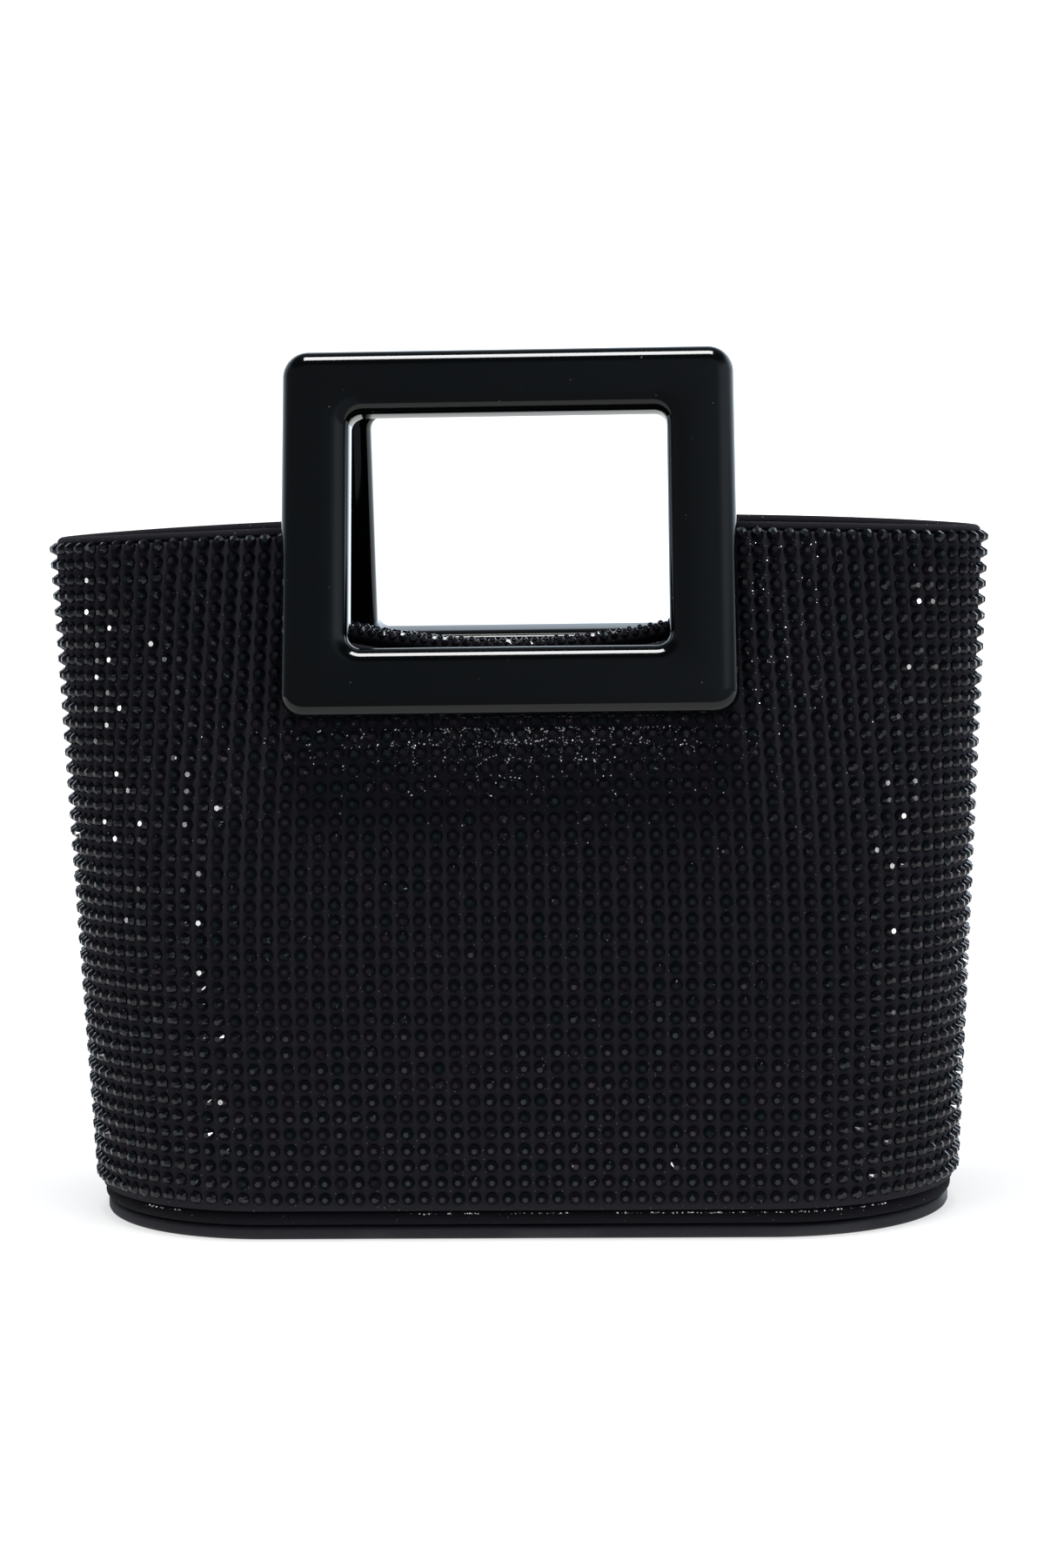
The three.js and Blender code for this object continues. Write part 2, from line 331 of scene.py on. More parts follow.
def ring_faces(loops, count, closed=True):
    """Quads between loops of count points, the last loop joined to the first when closed."""
    faces = []
    for row in range(loops if closed else loops - 1):
        here = row * count
        there = ((row + 1) % loops) * count
        for i in range(count):
            j = (i + 1) % count
            faces.append((here + i, here + j, there + j, there + i))
    return faces


def grid_faces(columns, rows):
    """Quads of a closed skin: columns run along the wall and rows right round its section."""
    faces = []
    for i in range(columns - 1):
        for k in range(rows):
            m = (k + 1) % rows
            faces.append((i * rows + k, i * rows + m, (i + 1) * rows + m, (i + 1) * rows + k))
    faces.append(tuple(reversed(range(rows))))
    faces.append(tuple((columns - 1) * rows + k for k in range(rows)))
    return [tuple(reversed(face)) for face in faces]


# Finishes

def set_stops(ramp, stops):
    """Gives a colour ramp its stops, each a place and a colour, from low to high."""
    while len(ramp.elements) < len(stops):
        ramp.elements.new(1.0)
    for element, (place, colour) in zip(ramp.elements, stops):
        element.position = place
        element.color = colour


class Value:
    """A socket of a finish, with sums and products that add its Math nodes."""

    def __init__(self, finish, socket):
        self.finish = finish
        self.socket = socket

    def math(self, operation, first, second):
        return self.finish.node("Math", {"operation": operation}, {0: first, 1: second})

    def __add__(self, other):
        return self.math("ADD", self, other)

    __radd__ = __add__

    def __mul__(self, other):
        return self.math("MULTIPLY", self, other)

    __rmul__ = __mul__

    def __sub__(self, other):
        return self.math("SUBTRACT", self, other)

    def __rsub__(self, other):
        return self.math("SUBTRACT", other, self)

    def above(self, low, high, start=0.0, end=1.0):
        """start below low, end above high, and a smooth change between."""
        inputs = {"Value": self, "From Min": low, "From Max": high, "To Min": start, "To Max": end}
        return self.finish.node("MapRange", {"interpolation_type": "SMOOTHSTEP"}, inputs)


class Finish:
    """A material or the world under construction, with its one shader."""

    def __init__(self, owner, shader="Principled BSDF", **constants):
        owner.use_nodes = True
        self.owner = owner
        self.tree = owner.node_tree
        self.shader = self.tree.nodes[shader]
        for key, value in constants.items():
            self.shader.inputs[key.replace("_", " ")].default_value = value

    @cached_property
    def place(self):
        return self.node("TexCoord", out="Object")

    def node(self, kind, settings=None, inputs=None, out=0):
        """Adds a node: its settings first, then its sockets' values or links."""
        made = self.tree.nodes.new("ShaderNode" + kind)
        for key, value in (settings or {}).items():
            if key == "stops":
                set_stops(made.color_ramp, value)
            else:
                setattr(made, key, value)
        for key, value in (inputs or {}).items():
            if isinstance(value, Value):
                self.tree.links.new(value.socket, made.inputs[key])
            else:
                made.inputs[key].default_value = value
        return Value(self, made.outputs[out])

    def noise(self, scale, detail, rough=0.5):
        inputs = {"Vector": self.place, "Scale": scale, "Detail": detail, "Roughness": rough}
        return self.node("TexNoise", inputs=inputs)

    def specks(self, scale):
        """Random value of each small cell, and the distance to the cell's middle."""
        inputs = {"Vector": self.place, "Scale": scale}
        near = self.node("TexVoronoi", inputs=inputs)
        spread = self.node("TexVoronoi", inputs=inputs, out="Color")
        value = self.node("SeparateColor", inputs={0: spread})
        return value, near

    def mix(self, share, first, second):
        settings = {"data_type": "RGBA"}
        return self.node("Mix", settings, {0: share, 6: first, 7: second}, out=2)

    def bump(self, height, distance, strength):
        inputs = {"Height": height, "Distance": distance, "Strength": strength}
        return self.node("Bump", inputs=inputs)

    def set(self, **links):
        """Links values to the shader's sockets and returns what was made."""
        for key, value in links.items():
            self.tree.links.new(value.socket, self.shader.inputs[key.replace("_", " ")])
        return self.owner


def new_finish(name, **constants):
    """A material, with constants for the shader's own sockets."""
    return Finish(bpy.data.materials.new(name), **constants)


def grey(level):
    return (level, level, level, 1)


def plum(level):
    """The faintly purple black of the cloth."""
    return (1.06 * level, level, 1.3 * level, 1)


def suede_cloth(name, base, glitter):
    """Brushed black cloth with a short nap and sparse metallic specks."""
    cloth = new_finish(name, Roughness=0.85, Specular_IOR_Level=0.05, Sheen_Weight=0.02,
                       Sheen_Roughness=0.5)
    nap = cloth.noise(1500, 4, 0.7)
    patches = cloth.noise(60, 2)
    value, near = cloth.specks(2600)
    speck = value.above(1 - glitter, 1 - glitter * 0.5) * (1 - near.above(0.25, 0.4))
    dark = cloth.mix(nap, plum(base * 0.6), plum(base * 1.5))
    toned = cloth.mix(patches * 0.5, dark, plum(base * 1.25))
    colour = cloth.mix(speck, toned, grey(0.2))
    rough = 0.9 - speck * 0.6
    normal = cloth.bump(nap + speck * 0.6, 0.0002, 0.8)
    return cloth.set(Base_Color=colour, Roughness=rough, Normal=normal)


def lining_cloth():
    """Close twill inside the bag."""
    cloth = new_finish("lining_twill", Roughness=0.8, Specular_IOR_Level=0.3)
    ribs = cloth.node("TexWave", {"bands_direction": "DIAGONAL"}, {"Vector": cloth.place, "Scale": 420})
    nap = cloth.noise(900, 3)
    colour = cloth.mix(nap, grey(0.008), grey(0.016))
    return cloth.set(Base_Color=colour, Normal=cloth.bump(ribs + nap * 0.4, 0.0001, 0.6))


def jet_stone():
    """Black cut stones, each a little different in tone."""
    stone = new_finish("jet_stone", Roughness=0.06, IOR=1.6, Specular_IOR_Level=0.25)
    own = stone.node("NewGeometry", out="Random Per Island")
    green_black = (0.0040, 0.0066, 0.0080, 1)
    blue_black = (0.0066, 0.0062, 0.0090, 1)
    plum_black = (0.0092, 0.0068, 0.0096, 1)
    stops = [(0.0, green_black), (0.5, blue_black), (1.0, plum_black)]
    tint = stone.node("ValToRGB", {"stops": stops}, {0: own})
    return stone.set(Base_Color=tint, Roughness=0.05 + own * 0.1)


def black_resin():
    """Polished cast resin with faint dust."""
    resin = new_finish("black_resin", Roughness=0.05, IOR=1.5, Specular_IOR_Level=0.33)
    value, near = resin.specks(600)
    dust = value.above(0.94, 0.95) * (1 - near.above(0.08, 0.16))
    cloud = resin.noise(30, 2)
    deep = resin.mix(cloud, (0.0008, 0.0014, 0.0018, 1), (0.0014, 0.0016, 0.0018, 1))
    colour = resin.mix(dust * 0.5, deep, grey(0.12))
    swell = resin.noise(22, 1)
    rough = 0.06 + cloud * 0.05 + dust * 0.4
    return resin.set(Base_Color=colour, Roughness=rough, Normal=resin.bump(swell, 0.0004, 0.25))


def board_cloth():
    """Cloth over the base board, rubbed glossy in places."""
    cloth = new_finish("board_cloth", Roughness=0.6, Specular_IOR_Level=0.4)
    patches = cloth.noise(18, 2).above(0.5, 0.6)
    nap = cloth.noise(1800, 4, 0.7)
    colour = cloth.mix(nap, plum(0.010), plum(0.024))
    rough = 0.8 - patches * 0.25
    normal = cloth.bump(nap * (1 - patches * 0.7), 0.0002, 0.6)
    return cloth.set(Base_Color=colour, Roughness=rough, Normal=normal)


def glitter_flake():
    """Metal flakes, some duller than others."""
    flake = new_finish("glitter_flake", Metallic=1.0, Roughness=0.42)
    own = flake.node("NewGeometry", out="Random Per Island")
    return flake.set(Base_Color=flake.mix(own, grey(0.5), grey(0.98)))


WALL_CLOTH = suede_cloth("wall_suede", 0.0165, 0.03)
TRIM_CLOTH = suede_cloth("trim_suede", 0.0085, 0.015)
LINING = lining_cloth()
STONE = jet_stone()
RESIN = black_resin()
BOARD_CLOTH = board_cloth()
GLITTER = glitter_flake()


# Line of the notch and its roll, in the plane of the leaning wall

def notch_line(roll_top, grow):
    """The roll's line on the wall, left to right, as x and z. grow moves it into the wall."""
    side = NOTCH_HALF_WIDTH - ROLL_RADIUS - GAP + grow
    corner = NOTCH_CORNER + grow
    reach = side - corner
    middle = roll_top - ROLL_RADIUS - grow
    ends = middle + SILL_RISE
    bend = ends + 2 * SILL_RISE * corner / reach
    rise = np.linspace(RIM_HEIGHT + BINDING_HEIGHT, bend + corner, NOTCH_UPRIGHT_STEPS + 1)[:-1]
    up = np.stack([0 * rise - side, rise], -1)
    t = np.linspace(0, 1, NOTCH_CORNER_STEPS)[:, None]
    turn = (1 - t) ** 2 * [-side, bend + corner] + 2 * t * (1 - t) * [-side, bend] + t**2 * [-reach, ends]
    across = np.linspace(-reach, reach, NOTCH_SILL_STEPS)[1:-1]
    sag = np.stack([across, middle + SILL_RISE * (across / reach) ** 2], -1)
    left = np.concatenate([up, turn])
    return np.concatenate([left, sag, left[::-1] * [-1, 1]])


def notch_edge(roll_top, x):
    """Height of the notch's edge above x, for x inside the notch."""
    line = notch_line(roll_top, ROLL_RADIUS + GAP)
    inner = line[line[:, 1] <= line[NOTCH_UPRIGHT_STEPS, 1]]
    return np.interp(x, inner[:, 0], inner[:, 1])


# Walls

def wall_cloth(name, roll_top, turned, replaced):
    """One half of the wall: cloth outside, lining inside, a rounded top edge and the notch."""
    turn = np.linspace(math.pi / 2, 0, WALL_END_STEPS)
    edge = NOTCH_HALF_WIDTH
    closing = 1 - np.linspace(0, 1, WALL_CORNER_STEPS)
    corner = edge - (NOTCH_CORNER + ROLL_RADIUS + GAP) * closing**2
    middle = np.linspace(-corner[0], corner[0], WALL_NOTCH_STEPS)[1:-1]
    wing = np.linspace(-FLAT_HALF_WIDTH, -edge - NOTCH_BRINK, WALL_WING_STEPS)
    flat = np.concatenate([wing, -corner[::-1], middle, corner, -wing[::-1]])
    flats = np.concatenate([-FLAT_HALF_WIDTH + 0 * turn[:-1], flat, FLAT_HALF_WIDTH + 0 * turn[:-1]])
    turns = np.concatenate([turn[:-1], 0 * flat, turn[:-1][::-1]])
    levels = np.linspace(0, 1, WALL_LEVELS)
    arc = np.linspace(0, math.pi, FOLD_STEPS + 2)[1:-1][:, None]
    columns = []
    for one_flat, one_turn in zip(flats, turns):
        x = plan_point(one_flat, one_turn, RIM_HEIGHT)[0]
        inside = abs(x) < edge + NOTCH_BRINK / 2
        top = float(notch_edge(roll_top, x) if inside else rim_height(x)) - WALL / 2
        z = PANEL_BOTTOM + (top - PANEL_BOTTOM) * levels
        outer = wall_point(np.full_like(z, one_flat), np.full_like(z, one_turn), z)
        inner = wall_point(np.full_like(z, one_flat), np.full_like(z, one_turn), z, WALL)
        middle_top = (outer[-1] + inner[-1]) / 2
        fold = middle_top + (outer[-1] - middle_top) * np.cos(arc)
        fold = fold + np.array([0, 0, WALL / 2]) * np.sin(arc)
        columns.append(np.concatenate([outer, fold, inner[::-1]]))
    rows = len(columns[0])
    faces = grid_faces(len(columns), rows)
    first_inner = WALL_LEVELS + FOLD_STEPS
    inner_side = [1 if k >= first_inner and k < rows - 1 else 0 for k in range(rows)]
    sides = inner_side * (len(columns) - 1) + [0, 0]
    return new_piece(name, np.concatenate(columns), faces, [WALL_CLOTH, LINING],
                     replaced, sides=sides, turned=turned)


# Stones

def cut_stone():
    """Points and faces of one flat-backed stone of radius 1, its height in its own units."""
    ring = np.linspace(0, 2 * math.pi, STONE_SIDES, endpoint=False)
    table = np.linspace(0, 2 * math.pi, STONE_SIDES // 2, endpoint=False)
    low = np.stack([np.cos(ring), np.sin(ring), 0 * ring], -1)
    high = low * STONE_SHOULDER + [0, 0, STONE_GIRDLE / STONE_HEIGHT]
    top = np.stack([STONE_TABLE * np.cos(table), STONE_TABLE * np.sin(table), 1 + 0 * table], -1)
    n = STONE_SIDES
    faces = [tuple(reversed(range(n)))]
    for i in range(n):
        j = (i + 1) % n
        faces.append((i, j, n + j, n + i))
    for k in range(n // 2):
        here = 2 * n + k
        there = 2 * n + (k + 1) % (n // 2)
        before = n + (2 * k - 1) % n
        middle = n + 2 * k
        after = n + 2 * k + 1
        faces.extend([(here, before, middle), (here, middle, after), (here, after, there)])
    faces.append(tuple(range(2 * n, 2 * n + n // 2)))
    return np.concatenate([low, high, top]), faces


def girdle_smooth(count):
    """Which faces of count stones are shaded round: only the girdles, so their edges glint."""
    faces = cut_stone()[1]
    return [1 <= k <= STONE_SIDES for k in range(len(faces))] * count


def set_stones(places, outward, upward, radius, height, seed):
    """Copies the cut stone to many places, each a little tilted and turned about itself."""
    draw = np.random.default_rng(seed)
    shape, faces = cut_stone()
    shape = shape * [radius, radius, height]
    count = len(places)
    tilt = np.radians(STONE_TILT) * draw.normal(size=(count, 3))
    outward = unit(unit(outward) + tilt)
    across = unit(np.cross(upward, outward))
    upward = np.cross(outward, across)
    turn = draw.uniform(0, 2 * math.pi, count)[:, None]
    one = across * np.cos(turn) + upward * np.sin(turn)
    two = upward * np.cos(turn) - across * np.sin(turn)
    size = draw.normal(1, SIZE_SCATTER, count)[:, None, None]
    moved = shape[None, :, 0:1] * one[:, None] + shape[None, :, 1:2] * two[:, None]
    moved = moved * size + shape[None, :, 2:3] * outward[:, None] + places[:, None]
    every = [tuple(i + k * len(shape) for i in face) for k in range(count) for face in faces]
    return moved.reshape(-1, 3), every


def wall_stones(name, turned, seed):
    """The square grid of stones on one half of the wall, left bare under the handle's foot."""
    draw = np.random.default_rng(seed)
    places = []
    outward = []
    upward = []
    for row in range(STONE_ROWS):
        share = row / (STONE_ROWS - 1)
        level = RIM_HEIGHT - FIRST_ROW + (LAST_ROW - RIM_HEIGHT + FIRST_ROW) * share
        reach = outline_reach(level)
        pitch = 2 * reach / STONE_COLUMNS
        distance = -reach + pitch * (np.arange(STONE_COLUMNS) + 0.5)
        distance = distance + draw.normal(0, PLACE_SCATTER, STONE_COLUMNS)
        flat, turn = plan_from_distance(distance, level)
        x = plan_point(flat, turn, level)[0]
        drop = (RIM_HEIGHT - rim_height(x)) * (level - LAST_ROW) / (RIM_HEIGHT - LAST_ROW)
        z = level - drop + draw.normal(0, PLACE_SCATTER, STONE_COLUMNS)
        over_foot = (np.abs(x) < HANDLE_WIDTH / 2 + BESIDE_HANDLE) & (z > HANDLE_BOTTOM + UNDER_HANDLE)
        bare = over_foot & (z > HANDLE_BOTTOM + NUDGED_ROW)
        z = np.where(over_foot & ~bare, HANDLE_BOTTOM + UNDER_HANDLE, z)
        here = wall_point(flat, turn, z)
        up = up_the_wall(flat, turn, z)
        ahead = wall_point(*plan_from_distance(distance + PROBE, level), z)
        behind = wall_point(*plan_from_distance(distance - PROBE, level), z)
        out = np.cross(ahead - behind, up)
        places.append(here[~bare])
        outward.append(out[~bare])
        upward.append(up[~bare])
    places = np.concatenate(places)
    points, faces = set_stones(places, np.concatenate(outward), np.concatenate(upward),
                               STONE_RADIUS, STONE_HEIGHT, seed)
    return new_piece(name, points, faces, [STONE], smooth=girdle_smooth(len(places)),
                     turned=turned)


# Loose glitter

def set_flakes(name, places, outward, seed, turned=False):
    """Tiny flattened metal flakes lying on cloth at random slants."""
    draw = np.random.default_rng(seed)
    count = len(places)
    normal = unit(outward + FLAKE_SLANT * draw.normal(size=(count, 3)))
    one = unit(np.cross(normal, draw.normal(size=(count, 3))))
    two = np.cross(normal, one)
    size = draw.uniform(*FLAKE_SIZES, count)[:, None]
    thick = FLAKE_THICKNESS * size * normal
    corners = [size * one, size * two, -size * one, -size * two, thick, -thick]
    points = np.stack([places + corner for corner in corners], 1).reshape(-1, 3)
    flake = [(0, 1, 4), (1, 2, 4), (2, 3, 4), (3, 0, 4), (1, 0, 5), (2, 1, 5), (3, 2, 5), (0, 3, 5)]
    faces = [tuple(6 * k + i for i in face) for k in range(count) for face in flake]
    return new_piece(name, points, faces, [GLITTER], smooth=False, turned=turned)


def wall_glitter(name, turned, seed):
    """Flakes on the cloth under the handle's foot, thickest close to it, and some to its right."""
    draw = np.random.default_rng(seed)
    x = draw.normal(WALL_FLAKE_MIDDLE, WALL_FLAKE_SPREAD, WALL_FLAKES)
    z = HANDLE_BOTTOM - WALL_FLAKE_START - draw.exponential(WALL_FLAKE_FADE, WALL_FLAKES)
    beside = draw.uniform(size=WALL_FLAKES) < FLAKES_BESIDE
    x = np.where(beside, HANDLE_WIDTH / 2 + draw.uniform(*BESIDE_REACH, WALL_FLAKES), x)
    z = np.where(beside, draw.uniform(HANDLE_BOTTOM, RIM_HEIGHT - BESIDE_RIM_DROP, WALL_FLAKES), z)
    flat, turn = plan_from_distance(x, WALL_FLAKE_LEVEL)
    places = wall_point(flat, turn, z)
    outward = unit(np.cross([1.0, 0, 0], up_the_wall(flat, turn, z)))
    return set_flakes(name, places + WALL_FLAKE_LIFT * outward, outward, seed, turned)


def welt_glitter(name, turned, seed):
    """A line of flakes in the crease between the welt and the wall, with bare stretches."""
    draw = np.random.default_rng(seed)
    distance = draw.uniform(-WELT_FLAKE_REACH, WELT_FLAKE_REACH, WELT_FLAKES)
    short_run, long_run = 7, 19
    dense = np.sin(distance / short_run + 3 * np.sin(distance / long_run)) > WELT_BARE_LEVEL
    distance = distance[dense]
    middle = WELT_BOTTOM + WELT_HEIGHT / 2
    flat, turn = plan_from_distance(distance, middle)
    angle = np.radians(draw.uniform(*WELT_FLAKE_ANGLES, len(distance)))
    inset = WELT_SETBACK + WELT_HEIGHT / 2 * (1 - np.cos(angle))
    x, y = plan_point(flat, turn, middle, inset)
    places = np.stack([x, y, middle + WELT_HEIGHT / 2 * np.sin(angle)], -1)
    side = np.stack([np.sign(flat) * np.sin(turn), -np.cos(turn), 0 * x], -1)
    outward = side * np.cos(angle)[:, None] + np.array([0, 0, 1.0]) * np.sin(angle)[:, None]
    return set_flakes(name, places + WELT_FLAKE_LIFT * outward, outward, seed, turned)


# Handles

def frame_loop(width, length, foot, radius, inset, depth):
    """Rounded rectangle of a handle in its own upright plane, narrowing a little upwards."""
    r = max(radius - inset, LEAST_CORNER)
    x = width / 2 - inset - r
    z = length / 2 - inset - r
    middle = foot + length / 2
    loop = []
    for side, height, start in ((x, -z, -0.5), (x, z, 0.0), (-x, z, 0.5), (-x, -z, 1.0)):
        for i in range(HANDLE_CORNER_STEPS + 1):
            angle = math.pi * (start + 0.5 * i / HANDLE_CORNER_STEPS)
            up = middle + height + r * math.sin(angle)
            narrow = 1 - HANDLE_NARROWING * (up / HANDLE_LENGTH - 0.5) / HANDLE_WIDTH
            loop.append(((side + r * math.cos(angle)) * narrow, -depth, up))
    return loop


def lean_back(points):
    """Takes a handle from its upright plane to its place on the leaning front wall."""
    points = np.asarray(points, float)
    y = points[:, 1] * math.cos(LEAN) + points[:, 2] * math.sin(LEAN)
    z = points[:, 2] * math.cos(LEAN) - points[:, 1] * math.sin(LEAN)
    foot = -float(half_depth(HANDLE_BOTTOM)) - GAP / math.cos(LEAN)
    return np.stack([points[:, 0], y + foot, z + HANDLE_BOTTOM], -1)


def resin_handle(name, turned, replaced):
    """Square frame with softly rounded edges."""
    turns = np.linspace(0, math.pi / 2, HANDLE_EDGE_STEPS)

    def inset(turn):
        return HANDLE_EDGE * (1 - math.cos(turn))

    def near(turn):
        return HANDLE_THICKNESS - HANDLE_EDGE * (1 - math.sin(turn))

    def far(turn):
        return HANDLE_EDGE * (1 - math.sin(turn))

    def outer(turn, depth):
        return frame_loop(HANDLE_WIDTH, HANDLE_LENGTH, 0, HANDLE_CORNER, inset(turn), depth)

    def window(turn, depth):
        return frame_loop(WINDOW_WIDTH, WINDOW_HEIGHT, FOOT_BAR, WINDOW_CORNER, -inset(turn), depth)

    loops = [outer(t, near(t)) for t in turns]
    loops += [window(t, near(t)) for t in turns[::-1]]
    loops += [window(t, far(t)) for t in turns]
    loops += [outer(t, far(t)) for t in turns[::-1]]
    points = lean_back([p for loop in loops for p in loop])
    faces = ring_faces(len(loops), len(loops[0]))
    return new_piece(name, points, faces, [RESIN], replaced, turned=turned)


# Rolls of the notches

def roll_path(roll_top):
    """Middle line of a roll on the front wall."""
    line = notch_line(roll_top, 0)
    y = -half_depth(line[:, 1]) + ROLL_RADIUS / math.cos(LEAN)
    return np.stack([line[:, 0], y, line[:, 1]], -1)


WALL_OUT = np.array([0, -math.cos(LEAN), math.sin(LEAN)])


def path_along(path):
    """Direction along a path at each of its points."""
    return unit(np.gradient(path, axis=0))


def path_sideways(path):
    """Direction across a path, in the plane of the leaning wall."""
    return np.cross(path_along(path), WALL_OUT)


def notch_roll(name, roll_top, turned, replaced):
    path = roll_path(roll_top)
    sideways = path_sideways(path)
    angles = np.linspace(0, 2 * math.pi, ROLL_SIDES, endpoint=False)
    rings = [path + ROLL_RADIUS * (math.cos(a) * sideways + math.sin(a) * WALL_OUT) for a in angles]
    points = np.stack(rings, 1).reshape(-1, 3)
    faces = grid_faces(len(path), len(angles))
    return new_piece(name, points, faces, [TRIM_CLOTH], replaced, turned=turned)


def roll_stones(name, roll_top, turned, seed):
    """Two rows of smaller stones along the roll's upper side."""
    path = roll_path(roll_top)
    steps = np.linalg.norm(np.diff(path, axis=0), axis=1)
    lengths = np.concatenate([[0], np.cumsum(steps)])
    count = int(lengths[-1] / TRIM_STONE_PITCH)
    along = path_along(path)
    sideways = path_sideways(path)
    places = []
    outward = []
    upward = []
    for lean_in, shift in ROLL_STONE_ROWS:
        at = (np.arange(count) + shift) * lengths[-1] / count
        at = at[(at > ROLL_END_BARE) & (at < lengths[-1] - ROLL_END_BARE)]

        def along_path(values):
            return np.stack([np.interp(at, lengths, values[:, k]) for k in range(3)], -1)

        tilt = math.radians(lean_in)
        out = -math.sin(tilt) * along_path(sideways) + math.cos(tilt) * WALL_OUT
        places.append(along_path(path) + (ROLL_RADIUS - TRIM_STONE_SINK) * out)
        outward.append(out)
        upward.append(along_path(along))
    places = np.concatenate(places)
    points, faces = set_stones(places, np.concatenate(outward), np.concatenate(upward),
                               TRIM_STONE_RADIUS, TRIM_STONE_HEIGHT, seed)
    return new_piece(name, points, faces, [STONE], smooth=girdle_smooth(len(places)),
                     turned=turned)


# Foot

def welt_ring():
    middle = WELT_BOTTOM + WELT_HEIGHT / 2
    half = WELT_HEIGHT / 2
    loops = []
    for angle in np.linspace(-math.pi / 2, math.pi / 2, WELT_STEPS):
        ring = outline(middle, WELT_SETBACK + half * (1 - math.cos(angle)))
        loops.append(ring + [0, 0, half * math.sin(angle)])
    for z in (half, -half):
        loops.append(outline(middle, WELT_SETBACK + WELT_DEPTH) + [0, 0, z])
    faces = ring_faces(len(loops), len(loops[0]))
    return new_piece("foot_welt", np.concatenate(loops), faces, [TRIM_CLOTH],
                     ["base_welt"])


def base_layer():
    loops = [outline(0, BOARD_INSET + inset) + [0, 0, z] for inset, z in BOARD_SECTION]
    count = len(loops[0])
    faces = ring_faces(len(loops), count, closed=False)
    faces.append(tuple(reversed(range(count))))
    faces.append(tuple((len(loops) - 1) * count + i for i in range(count)))
    return new_piece("base_layer", np.concatenate(loops), faces, [BOARD_CLOTH],
                     ["base_board"])


# Rim

def binding_line():
    """Middle of the rim's binding, from the back notch round the left side to the front notch."""
    start = NOTCH_HALF_WIDTH + GAP
    inset = BINDING_WIDTH / 2 + (GAP + BINDING_HEIGHT) * math.tan(LEAN)
    ring = outline(RIM_HEIGHT, inset, BINDING_END_STEPS)
    left = ring[ring[:, 0] < -start]
    order = np.argsort(np.arctan2(left[:, 1], -left[:, 0]))
    left = left[order][::-1]
    y = float(half_depth(RIM_HEIGHT)) - inset
    ends = np.array([[-start, y, RIM_HEIGHT], [-start, -y, RIM_HEIGHT]])
    line = np.concatenate([ends[:1], left, ends[1:]])
    line[:, 2] = rim_height(line[:, 0]) + GAP
    return line


def rim_binding(name, turned, replaced):
    line = binding_line()
    along = np.gradient(line, axis=0)
    along[:, 2] = 0
    along = unit(along)
    across = np.stack([-along[:, 1], along[:, 0], 0 * line[:, 0]], -1)
    angles = np.linspace(math.pi, 0, BINDING_STEPS)
    dome = [(math.cos(a), BINDING_UPRIGHT + (1 - BINDING_UPRIGHT) * math.sin(a)) for a in angles]
    profile = [(1, 0), (-1, 0)] + dome
    half = BINDING_WIDTH / 2
    rings = [line + half * s * across + [0, 0, BINDING_HEIGHT * u] for s, u in profile]
    points = np.stack(rings, 1).reshape(-1, 3)
    faces = grid_faces(len(line), len(profile))
    return new_piece(name, points, faces, [TRIM_CLOTH], replaced, turned=turned)


# Pieces

wall_cloth("front_wall", FRONT_ROLL_TOP, False, ["front_panel"])
wall_cloth("back_wall", BACK_ROLL_TOP, True, ["back_panel"])
wall_stones("front_stones", False, SEED)
wall_stones("back_stones", True, SEED + 1)
resin_handle("front_grip", False, ["front_handle"])
resin_handle("back_grip", True, ["back_handle"])
notch_roll("front_sill_roll", FRONT_ROLL_TOP, False, ["front_window_roll"])
notch_roll("back_sill_roll", BACK_ROLL_TOP, True, ["back_window_roll"])
roll_stones("front_sill_stones", FRONT_ROLL_TOP, False, SEED + 2)
roll_stones("back_sill_stones", BACK_ROLL_TOP, True, SEED + 3)
rim_binding("left_rim_edge", False, ["left_rim_binding"])
rim_binding("right_rim_edge", True, ["right_rim_binding"])
welt_ring()
base_layer()
wall_glitter("front_glitter", False, SEED + 4)
wall_glitter("back_glitter", True, SEED + 5)
welt_glitter("front_welt_glitter", False, SEED + 6)
welt_glitter("back_welt_glitter", True, SEED + 7)


# Floor, light and camera

def studio_floor():
    """White paper sheet that also glows a little, so that it stays white away from the lamps."""
    near, far, side = -0.23, 2.4, 1.6
    mesh = bpy.data.meshes.new("studio_floor")
    corners = [(-side, near, 0), (side, near, 0), (side, far, 0), (-side, far, 0)]
    mesh.from_pydata(corners, [], [(0, 1, 2, 3)])
    floor = bpy.data.objects.new("studio_floor", mesh)
    bpy.context.collection.objects.link(floor)
    paper = new_finish("floor_paper", Roughness=0.9, Specular_IOR_Level=0.1, Emission_Strength=1.0)
    grain = paper.noise(40, 3)
    reach = paper.node("VectorMath", {"operation": "LENGTH"}, {0: paper.place}, out=1)
    glow = paper.mix(reach.above(0.3, 0.9), grey(FLOOR_GLOW_NEAR), grey(FLOOR_GLOW_FAR))
    colour = paper.mix(grain, grey(0.26), grey(0.3))
    mesh.materials.append(paper.set(Base_Color=colour, Emission_Color=glow))


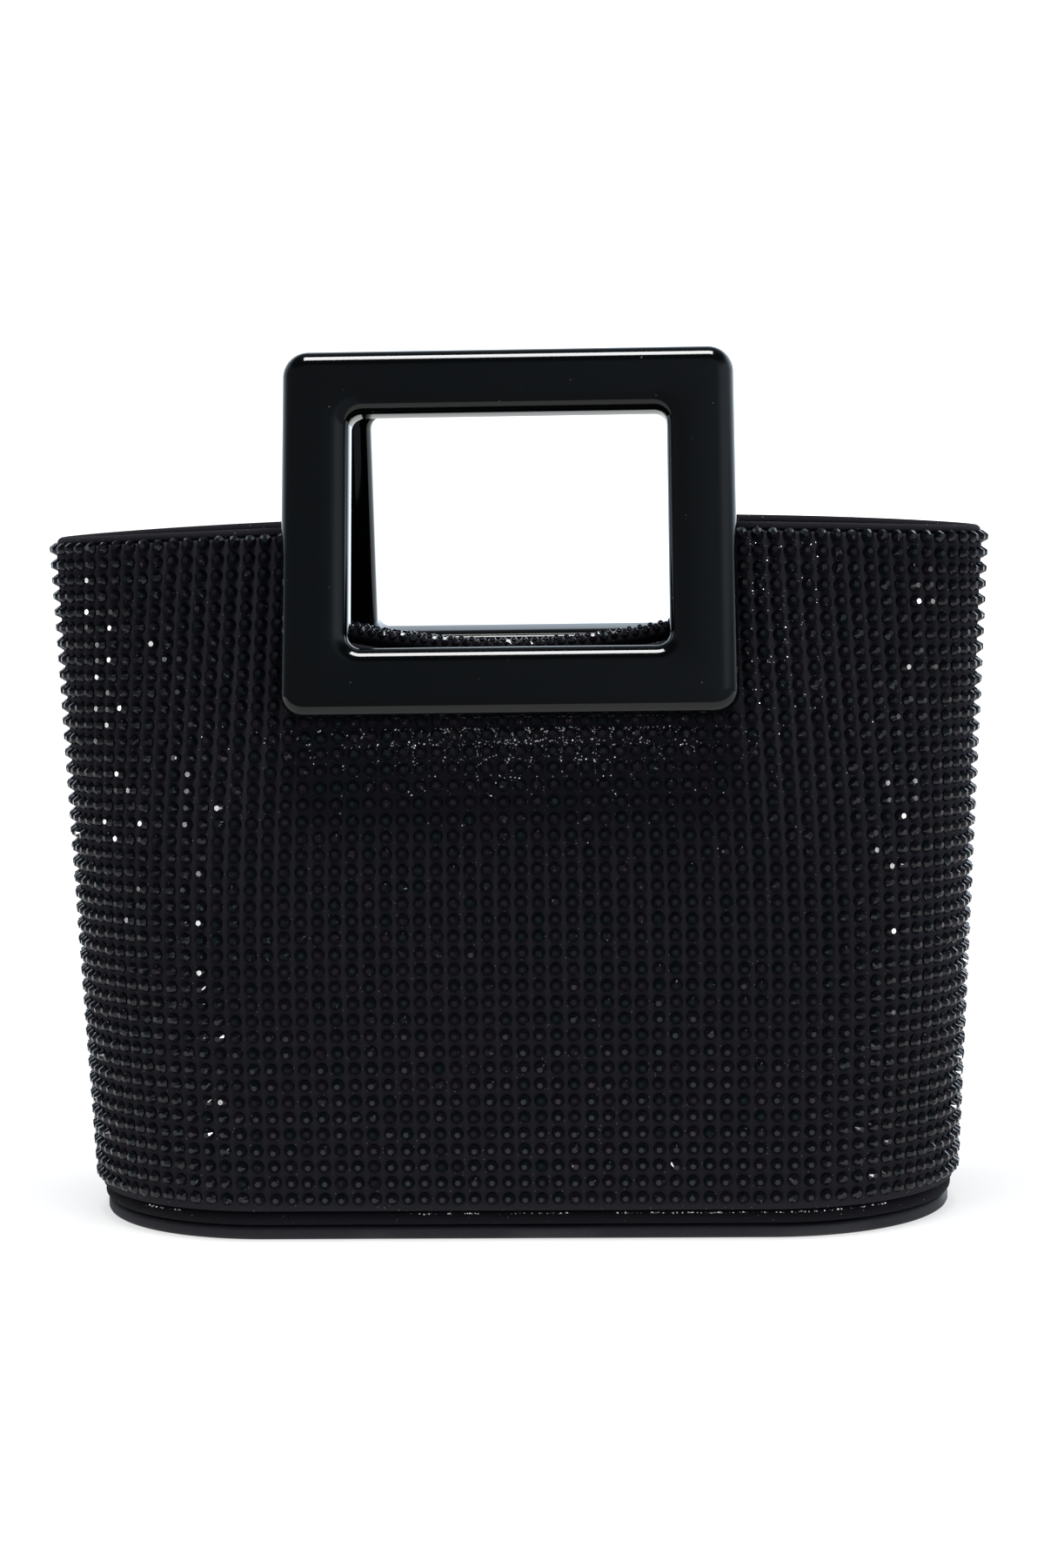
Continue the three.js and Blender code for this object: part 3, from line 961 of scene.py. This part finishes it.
def studio_world():
    """White backdrop for the camera. What the bag mirrors is bright behind it and dark in front."""
    world = bpy.data.worlds.new("studio_world")
    bpy.context.scene.world = world
    sky = Finish(world, "Background")
    way = sky.node("TexCoord", out="Generated")
    x, y, z = (sky.node("SeparateXYZ", inputs={0: way}, out=axis) for axis in "XYZ")
    # Bright low down behind the bag, more so to the right, with a low glow further to the right
    behind = y.above(-0.1, 0.8, FRONT_FILL, BACK_FILL)
    low = z.above(0.5, 0.75, 1.0, 0.15)
    across = x.above(-0.12, 0.12, 0.86, 1.5)
    right = x.above(0.1, 0.7, 0.0, 0.55)
    raised = z.above(0.12, 0.3) * z.above(0.35, 0.6, 1.0, 0.0)
    lit = behind * low * across + right * raised
    camera_ray = sky.node("LightPath", out="Is Camera Ray")
    strength = lit.math("MAXIMUM", lit, camera_ray)
    sky.set(Strength=strength, Color=sky.mix(camera_ray, COOL_FILL, grey(1)))


def studio_lamps():
    """The strips light the stones and glitter. The softbox lights all but the wall stones."""
    # Name, place, aim, size and watts
    lamps = [
        ("top_softbox", (0, -0.18, 1.3), (0, -0.1, 0), (0.6, 0.45), 24),
        ("left_strip", (-1.08, -0.19, 0.15), (0, 0, 0.1), (0.035, 0.42), 4.6),
        ("near_strip", (-0.65, -0.85, 0.15), (0, 0, 0.1), (0.03, 0.3), 2),
        ("right_strip", (1.0, -0.44, 0.15), (0, 0, 0.1), (0.035, 0.42), 4.6),
    ]
    glinting = bpy.data.collections.new("lit_by_strips")
    lit_above = bpy.data.collections.new("lit_from_above")
    for piece in bpy.context.scene.objects:
        if piece.name.endswith(("_stones", "_glitter")):
            glinting.objects.link(piece)
        if piece.name not in ("front_stones", "back_stones"):
            lit_above.objects.link(piece)
    for name, place, aim, size, watts in lamps:
        lamp = bpy.data.lights.new(name, "AREA")
        lamp.shape = "RECTANGLE"
        lamp.size, lamp.size_y = size
        lamp.energy = watts
        holder = bpy.data.objects.new(name, lamp)
        holder.location = place
        look = Vector(aim) - Vector(place)
        holder.rotation_euler = look.to_track_quat("-Z", "Y").to_euler()
        bpy.context.collection.objects.link(holder)
        holder.light_linking.receiver_collection = glinting if name.endswith("_strip") else lit_above


def camera():
    yaw, pitch, roll = CAMERA_YAW, CAMERA_PITCH, CAMERA_ROLL
    ahead = Vector((-math.sin(yaw) * math.cos(pitch), math.cos(yaw) * math.cos(pitch), -math.sin(pitch)))
    right = Vector((math.cos(yaw), math.sin(yaw), 0))
    up = right.cross(ahead)
    rolled_right = right * math.cos(roll) + up * math.sin(roll)
    rolled_up = up * math.cos(roll) - right * math.sin(roll)
    lens = bpy.data.cameras.new("photo_camera")
    lens.sensor_width = SENSOR
    lens.lens = SENSOR * FOCAL_PIXELS / IMAGE_HEIGHT
    lens.clip_start = 0.01
    holder = bpy.data.objects.new("photo_camera", lens)
    turned = Matrix((rolled_right, rolled_up, -ahead)).transposed().to_4x4()
    holder.matrix_world = Matrix.Translation(CAMERA_AT * MM) @ turned
    bpy.context.collection.objects.link(holder)
    bpy.context.scene.camera = holder


studio_floor()
studio_world()
studio_lamps()
camera()
bpy.context.scene.view_settings.view_transform = "Standard"
